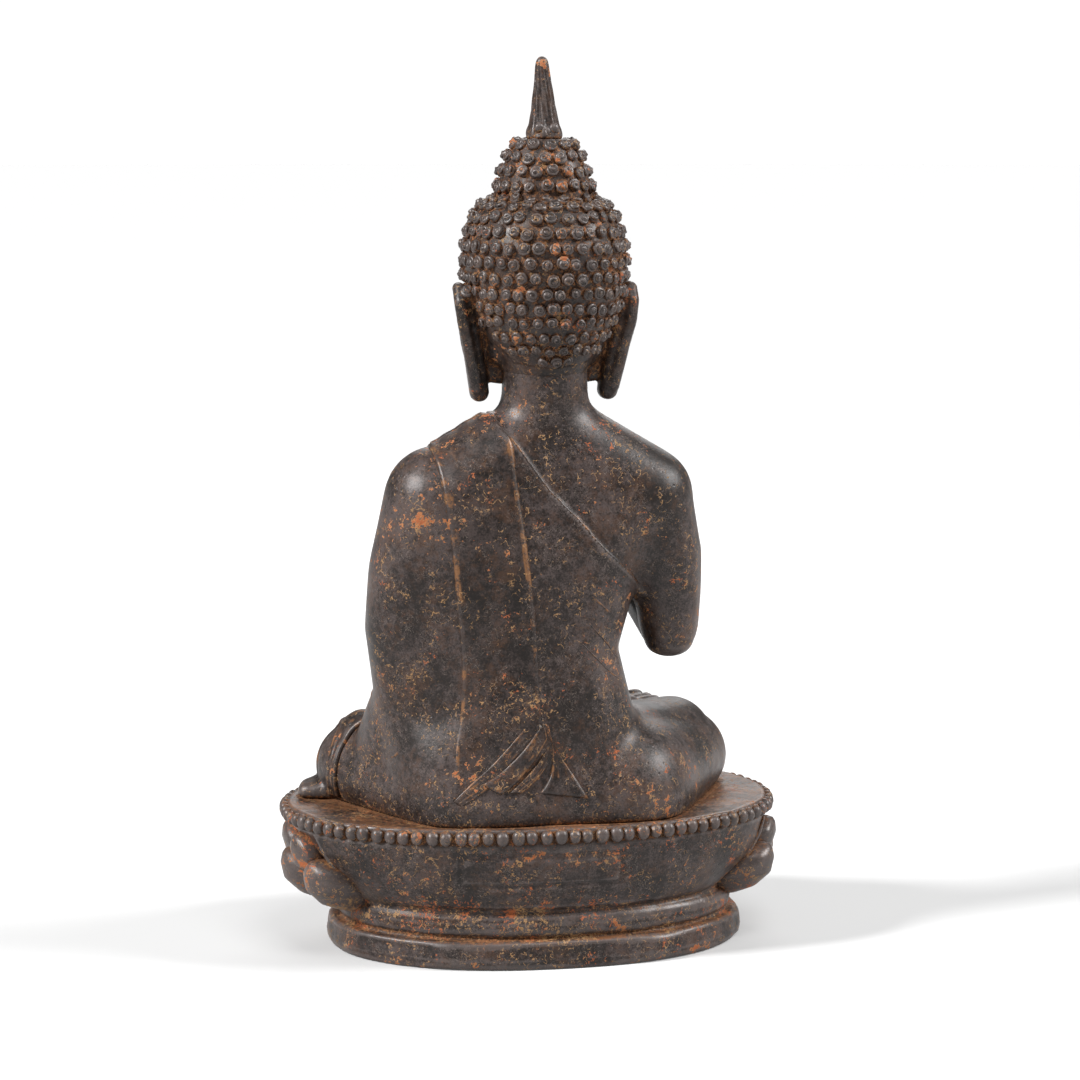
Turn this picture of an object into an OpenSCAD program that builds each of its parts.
// Seated figure on a lotus throne, in cast iron.
// Origin: centre of the throne's footprint, on the surface that it stands on.
// +Z is up and the figure faces -Y. Its own left side is towards +X.

/* [Throne] */
// Half width of the throne's deck, without its beads
deck_a = 119; // [110:0.5:125]
// Half depth of the throne's deck, without its beads
deck_b = 82; // [78:0.5:88]
// Set back of the throne's outline, which leaves room for the front petals
throne_y = 1.9; // [0:0.1:4]
// Height of the deck, where the figure sits
deck_z = 70; // [68:1:74]
// Half width of the foot moulding
foot_a = 102; // [98:1:106]
// Half depth of the foot moulding
foot_b = 75; // [72:1:78]
// How square the throne's outline is: 2 is an ellipse
squareness = 2.2; // [2:0.1:2.6]
// Thickness of the cast walls
wall = 5; // [4:0.5:6]
// Number of beads round the deck
bead_count = 96; // [80:1:98]
// Radius of a bead
bead_r = 3.2; // [2.8:0.1:3.4]

/* [Lotus petals] */
// Number of petals in the lower row
petal_count = 13; // [11:2:15]
// Turn behind the side at which the petals end and the plain back panel begins, in degrees
panel_edge = 26; // [20:1:34]

/* [Figure] */
// Height of the neck's shoulder, where the head rests on it
neck_z = 288; // [286:1:290]
// Radius of the neck
neck_r = 20.5; // [19:0.5:22]
// Half width over the knees
knee_x = 106; // [102:1:108]
// Height of the elbow's centre above the floor
elbow_z = 158; // [154:1:162]

/* [Finial] */
// Height of the seat of the flame finial
finial_z = 392; // [390:1:394]
// Height of the finial above its seat
finial_h = 38.5; // [34:0.5:42]
// Radius of the finial at its seat
finial_r = 9; // [8:0.5:10]
// Radius of the finial's tang
tang_r = 4; // [3:0.5:5]

/* [Fits] */
// Radial clearance of a part that lifts out
lift_gap = 0.25; // [0.1:0.05:0.5]
// Radius of the dowels under the figure
dowel_r = 5; // [4:0.5:6]

/* [Hidden] */

iron = [0.23, 0.20, 0.19];
rusty_iron = [0.42, 0.26, 0.17];
bright_iron = [0.50, 0.47, 0.44];

ring_points = 56;
fine_fn = 72;
ball_fn = 20;

// Turn that one lower petal covers, and how far the petals stand out of the waist
petal_angle = 16;
front_reach = 18;
side_reach = 12.5;

// The closing plate in the foot
ledge_z = 4.5;
plate_t = 2.5;
rebate = 7;
plate_gap = 0.4;
ledge_w = 5.5;
pin_r = 1.5;
pin_angles = [25, 90, 155, 205, 270, 335];

// Places of the figure's joints, and the radii of its limbs there
axis_y = 38;
hip = [37, 43, 81];
hip_r = 33;
knee_r = 22;
knee = [knee_x - knee_r, -16, 84];
shin = [26, -50, 85];
shin_r = 16;
shoulder = [48, 40, 222];
shoulder_r = 24;
upper_arm = [55, 38, 194];
upper_arm_r = 21.5;
elbow = [60.5, 35, elbow_z];
elbow_r = 17;
wrist = [44, -12, 192];
wrist_r = 9.5;
dowel_at = [56, 20];
dowel_drop = 14;
boss_r = 9;
spigot_r = 14;
spigot_h = 15;

// Points of a superellipse with half axes a and b, centred at [0, y]
function outline(a, b, y = throne_y, n = squareness, count = ring_points) = [
    for (i = [0 : count - 1])
        let (t = 360 * i / count, c = cos(t), s = sin(t))
            [a * sign(c) * pow(abs(c), 2 / n), y + b * sign(s) * pow(abs(s), 2 / n)]
];

// Closed skin over rings given as [z, a, b], or [z, a, b, y] where they aren't centred on the throne
module loft(rings, n = squareness, count = ring_points) {
    points = [
        for (r = rings)
            for (p = outline(r[1], r[2], r[3] == undef ? throne_y : r[3], n, count)) [p[0], p[1], r[0]]
    ];
    last = (len(rings) - 1) * count;
    sides = [
        for (k = [0 : len(rings) - 2])
            for (i = [0 : count - 1])
                for (half = [0, 1])
                    let (j = (i + 1) % count, low = k * count, high = low + count)
                        half == 0 ? [low + i, high + j, low + j] : [low + i, high + i, high + j]
    ];
    bottom = [for (i = [0 : count - 1]) i];
    top = [for (i = [count - 1 : -1 : 0]) last + i];
    polyhedron(points = points, faces = concat([bottom], sides, [top]), convexity = 4);
}

module ball(p, r) translate(p) sphere(r = r, $fn = ball_fn);

// A tapered limb between two balls
module limb(p, p_r, q, q_r) hull() {
    ball(p, p_r);
    ball(q, q_r);
}

function flip(p) = [-p[0], p[1], p[2]];

// ---------------------------------------------------------------- throne

throne_skin = [
    [0, foot_a - 2, foot_b - 2],
    [2, foot_a, foot_b],
    [11, foot_a, foot_b],
    [13, foot_a - 1.5, foot_b - 1.5],
    [14.5, foot_a - 5.5, foot_b - 3.5],
    [17, foot_a - 4, foot_b - 2],
    [25, foot_a - 5, foot_b - 1.5],
    [27.5, foot_a - 7, foot_b - 3.5],
    [30, foot_a - 4, foot_b + 1],
    [45, deck_a - 8, deck_b - 3.5],
    [60, deck_a - 1, deck_b - 1],
    [62, deck_a, deck_b],
    [deck_z - 1, deck_a, deck_b],
    [deck_z, deck_a - 1.5, deck_b - 1.5]
];

throne_hollow = [
    [ledge_z, foot_a - rebate - ledge_w, foot_b - rebate - ledge_w],
    [28, foot_a - 7 - wall, foot_b - 4 - wall],
    [45, deck_a - 9 - wall, deck_b - 5 - wall],
    [deck_z - wall - 3, deck_a - 2 - wall, deck_b - 2 - wall],
    [deck_z - wall, deck_a - 6 - wall, deck_b - 6 - wall]
];

function plate_pin_at(t) =
    let (
        a = foot_a - rebate - ledge_w / 2,
        b = foot_b - rebate - ledge_w / 2,
        c = cos(t),
        s = sin(t)
    )
    [
        a * sign(c) * pow(abs(c), 2 / squareness),
        throne_y + b * sign(s) * pow(abs(s), 2 / squareness)
    ];

module throne_casting() color(iron) difference() {
    loft(throne_skin);
    loft(throne_hollow);
    translate([0, 0, -1])
        linear_extrude(ledge_z + 1.1) polygon(outline(foot_a - rebate, foot_b - rebate));
    for (side = [-1, 1])
        translate([side * dowel_at[0], dowel_at[1], deck_z - 2 * wall])
            cylinder(r = dowel_r + lift_gap, h = 3 * wall, $fn = fine_fn);
    for (t = pin_angles)
        translate(concat(plate_pin_at(t), ledge_z - 1))
            cylinder(r = pin_r, h = 6, $fn = fine_fn);
}

// One petal: narrow at the waist, swelling in the middle, with its tip turned out under the deck
module petal(width, low_z, high_z, reach) hull() {
    translate([0, 1, low_z]) scale([0.8, 0.8, 0.6]) sphere(r = 4.5, $fn = 8);
    for (share = [0.36, 0.62])
        translate([0, reach - 12, low_z + (high_z - low_z) * share])
            rotate([-25, 0, 0]) scale([width / 16, 1.45, 1]) sphere(r = 8, $fn = 12);
    translate([0, reach - 3, high_z - 3]) sphere(r = 3, $fn = 8);
}

// Places a petal on the throne's waist at turn t, where 270 is the front
module on_wall(t) {
    a = foot_a - 7;
    b = foot_b - 4;
    p = [a * cos(t), b * sin(t)];
    normal = atan2(p[1] / (b * b), p[0] / (a * a));
    translate([p[0], p[1] + throne_y, 0]) rotate([0, 0, normal - 90]) children();
}

// Turn of the petal that is k steps from the front
function petal_turn(k) = 270 + k * (180 + 2 * panel_edge - petal_angle) / (petal_count - 1);

// How far a petal stands out of the waist: the deck overhangs more at the sides than in front
function petal_reach(t) = front_reach + side_reach * pow(cos(t), 2);

module lotus_petals() color(iron) difference() {
    half = (petal_count - 1) / 2;
    union() {
        for (k = [-half : half])
            let (t = petal_turn(k)) on_wall(t) petal(27, 25, 53, petal_reach(t));
        for (k = [0.5 - half : half - 0.5])
            let (t = petal_turn(k)) on_wall(t) petal(24, 31, 63, petal_reach(t) + 1);
    }
    loft(throne_skin);
}

function rim_point(t) = [
    deck_a * sign(cos(t)) * pow(abs(cos(t)), 2 / squareness),
    throne_y + deck_b * sign(sin(t)) * pow(abs(sin(t)), 2 / squareness)
];

// Pairs of the length run along the rim and the turn reached there, for even spacing
rim_table = [
    for (t = 0, run = 0; t <= 360; t = t + 1, run = run + norm(rim_point(t) - rim_point(t - 1)))
        [run, t]
];

module bead_moulding() color(iron)
    for (i = [0 : bead_count - 1])
        translate(concat(
            rim_point(lookup(i * rim_table[360][0] / bead_count, rim_table)), deck_z - 4
        ))
            sphere(r = bead_r, $fn = fine_fn);

module base_plate() color(rusty_iron) difference() {
    translate([0, 0, ledge_z - plate_t])
        linear_extrude(plate_t)
            polygon(outline(foot_a - rebate - plate_gap, foot_b - rebate - plate_gap));
    for (t = pin_angles)
        translate(concat(plate_pin_at(t), 0)) cylinder(r = pin_r + 0.1, h = 9, $fn = fine_fn);
}

module plate_pins() color(bright_iron)
    for (t = pin_angles) translate(concat(plate_pin_at(t), 0)) {
        translate([0, 0, ledge_z - plate_t]) cylinder(r = pin_r, h = 7, $fn = fine_fn);
        translate([0, 0, ledge_z - plate_t - 1.2]) cylinder(r = 2.4, h = 1.2, $fn = fine_fn);
    }

// ---------------------------------------------------------------- figure

// Crossed legs and hips, wide and low
module lap(inset) {
    hull() for (side = [-1, 1]) {
        ball([side * hip[0], hip[1], hip[2]], hip_r - inset);
        ball([side * knee[0], knee[1], knee[2]], knee_r - inset);
        ball([side * shin[0], shin[1], shin[2]], shin_r - inset);
    }
    for (side = [-1, 1])
        limb(
            [side * 30, 34, 96], 26 - inset,
            [side * (knee[0] - 6), knee[1] + 2, knee[2] + 6], 19 - inset
        );
    limb([74, -24, 94], 16 - inset, [-22, -46, 96], 13 - inset);
}

module trunk(inset) {
    hull() {
        ball([-17, 42, 108], 31 - inset);
        ball([24, 42, 108], 33 - inset);
        ball([-9, 41, 150], 28 - inset);
        ball([16, 41, 150], 29 - inset);
    }
    hull() {
        ball([-9, 41, 150], 28 - inset);
        ball([16, 41, 150], 29 - inset);
        ball([-18, 38, 196], 29 - inset);
        ball([22, 38, 196], 30 - inset);
    }
    hull() for (side = [-1, 1]) {
        ball([side * 19, 38, 196], 29 - inset);
        ball([side * shoulder[0], shoulder[1], shoulder[2]], shoulder_r - inset);
    }
    hull() {
        for (side = [-1, 1])
            ball([side * shoulder[0], shoulder[1], shoulder[2]], shoulder_r - inset);
        translate([0, axis_y, 262]) cylinder(r = neck_r + 2 - inset, h = 2, $fn = 32);
    }
}

// The draped left arm, the bare right upper arm, and the left forearm in the lap
module arms(inset) {
    hull() {
        ball(shoulder + [3, 0, 0], shoulder_r + 1 - inset);
        ball([61, 37, 188], 22.5 - inset);
        ball([62, 35, 160], 23 - inset);
        ball([59, 33, 126], 21.5 - inset);
        ball([20, 42, 160], 26 - inset);
        ball([22, 42, 118], 28 - inset);
    }
    limb([60, 30, 124], 21 - inset, [66, 8, 96], 20 - inset);
    limb([58, 24, 132], 18 - inset, [30, -22, 118], 12 - inset);
    limb(flip(shoulder), shoulder_r - inset, flip(upper_arm), upper_arm_r - inset);
    limb(flip(upper_arm), upper_arm_r - inset, flip(elbow), elbow_r - inset);
}

// The left foot, sole up on the right thigh, and the left hand, palm up in the lap
module foot_and_hand() {
    limb([-10, -38, 108], 9, [-58, -26, 108], 7.5);
    hull() {
        ball([30, -22, 116], 10);
        ball([-8, -28, 117], 8);
        ball([4, -40, 116], 7);
    }
    hull() {
        ball([-8, -28, 117], 6);
        ball([4, -40, 116], 6);
        ball([-30, -32, 119], 4);
        ball([-22, -42, 118], 4);
    }
}

module figure_casting() color(iron) difference() {
    union() {
        intersection() {
            union() {
                lap(0);
                trunk(0);
                arms(0);
                foot_and_hand();
            }
            translate([-150, -150, deck_z]) cube([300, 300, 300]);
        }
        translate([0, axis_y, 240]) cylinder(r = neck_r, h = neck_z - 240, $fn = 40);
        translate([0, axis_y, neck_z - 5]) cylinder(r = spigot_r, h = spigot_h + 5, $fn = 40);
    }
    difference() {
        union() {
            lap(wall);
            trunk(wall);
            arms(wall);
            translate([0, axis_y, 240]) cylinder(r = spigot_r - wall, h = 100, $fn = 32);
        }
        for (side = [-1, 1])
            translate([side * dowel_at[0], dowel_at[1], deck_z])
                cylinder(r = boss_r, h = 60, $fn = 24);
    }
}

module seat_dowels() color(bright_iron)
    for (side = [-1, 1])
        translate([side * dowel_at[0], dowel_at[1], deck_z - dowel_drop])
            cylinder(r = dowel_r, h = dowel_drop + 12, $fn = fine_fn);

// Iron pins that held the core, left in the wall and seen as round spots: [x, y of the skin, z]
chaplet_places = [
    [-9, 67, 193], [46, 65.5, 209], [4, 66, 206], [8, 72, 128], [-34, 69.5, 100], [19, 72.5, 95]
];

module chaplets() color(rusty_iron)
    for (p = chaplet_places)
        translate(p) rotate([90, 0, 0]) cylinder(r = 2.2, h = 5.5, $fn = fine_fn);

// ---------------------------------------------------------------- head

skull = [
    [276, 10, 8, 8],
    [279, 19, 17, 13],
    [286, 26, 27, 22],
    [294, 31, 35, 30],
    [304, 35.5, 40, 34],
    [318, 38.5, 42.5, 36],
    [332, 40.5, 43.5, 37],
    [344, 40.5, 43.5, 38],
    [353, 37.5, 40, 38],
    [361, 32, 34, 38],
    [368, 26.5, 27, 38],
    [376, 24, 24, 38],
    [384, 20, 20, 38],
    [390, 16, 16, 38],
    [finial_z, 12, 12, 38]
];

module ear() hull() {
    translate([38.5, 37, 317]) scale([0.5, 1.1, 1]) sphere(r = 8, $fn = 18);
    translate([33, 34, 290]) scale([0.6, 1.1, 1]) sphere(r = 7, $fn = 18);
    translate([30, 33, 274]) scale([0.7, 1, 1]) sphere(r = 7, $fn = 18);
}

module nose() hull() {
    translate([0, -1, 303]) sphere(r = 5, $fn = 16);
    translate([0, 1, 321]) sphere(r = 3, $fn = 16);
}

module head_casting() color(iron) difference() {
    union() {
        loft(skull, 2, 40);
        ear();
        mirror([1, 0, 0]) ear();
        nose();
    }
    translate([0, axis_y, 200]) cylinder(r = neck_r + 0.1, h = neck_z - 200, $fn = fine_fn);
    translate([0, axis_y, neck_z - 1])
        cylinder(r = spigot_r + 0.1, h = spigot_h + 1.5, $fn = fine_fn);
    translate([0, axis_y, neck_z + spigot_h]) sphere(r = 30, $fn = fine_fn);
    translate([0, axis_y, finial_z - 18]) cylinder(r = tang_r + lift_gap, h = 30, $fn = fine_fn);
}

module neck_pin() color(bright_iron)
    translate([0, axis_y + 25, neck_z + 8])
        rotate([90, 0, 0]) cylinder(r = 2.5, h = 22, $fn = fine_fn);

// ---------------------------------------------------------------- raised forearm

module finger(p, q, tip, r) {
    limb(p, r, q, r * 0.95);
    limb(q, r * 0.95, tip, r * 0.8);
}

module right_forearm() color(iron) difference() {
    union() {
        limb(flip(elbow), elbow_r - 2, flip(wrist), wrist_r);
        hull() {
            ball(flip(wrist), wrist_r - 0.5);
            ball([-34, -17, 214], 6.5);
            ball([-51, -17, 214], 6.5);
        }
        finger([-52, -17, 216], [-53, -17, 228], [-52.5, -20, 238], 4.2);
        finger([-45, -17, 217], [-45, -17, 232], [-45, -20, 244], 4.4);
        finger([-38, -17, 217], [-37, -17, 230], [-37, -20, 242], 4.3);
        finger([-31, -18, 214], [-27, -27, 224], [-28, -37, 219], 4.1);
        finger([-33, -19, 204], [-26, -28, 207], [-28, -38, 214], 4.4);
    }
    limb(flip(shoulder), shoulder_r + 0.2, flip(elbow), elbow_r + 0.2);
}

module forearm_pin() color(bright_iron)
    let (d = flip(wrist) - flip(elbow), span = norm(d))
        translate(flip(elbow) + d * (elbow_r - 12) / span)
            rotate([0, acos(d[2] / span), atan2(d[1], d[0])])
                cylinder(r = 3, h = 22, $fn = fine_fn);

// ---------------------------------------------------------------- finial

module flame_finial() color(iron) {
    translate([0, axis_y, finial_z]) rotate_extrude($fn = fine_fn) polygon([
        [0, 0], [finial_r, 0], [finial_r * 0.86, 5], [finial_r * 0.66, 14],
        [finial_r * 0.47, 25], [finial_r * 0.36, finial_h - 4],
        [finial_r * 0.24, finial_h - 1], [0, finial_h]
    ]);
    translate([0, axis_y, finial_z - 16]) cylinder(r = tang_r, h = 17, $fn = fine_fn);
}

throne_casting();
lotus_petals();
bead_moulding();
base_plate();
plate_pins();
figure_casting();
seat_dowels();
chaplets();
head_casting();
neck_pin();
right_forearm();
forearm_pin();
flame_finial();
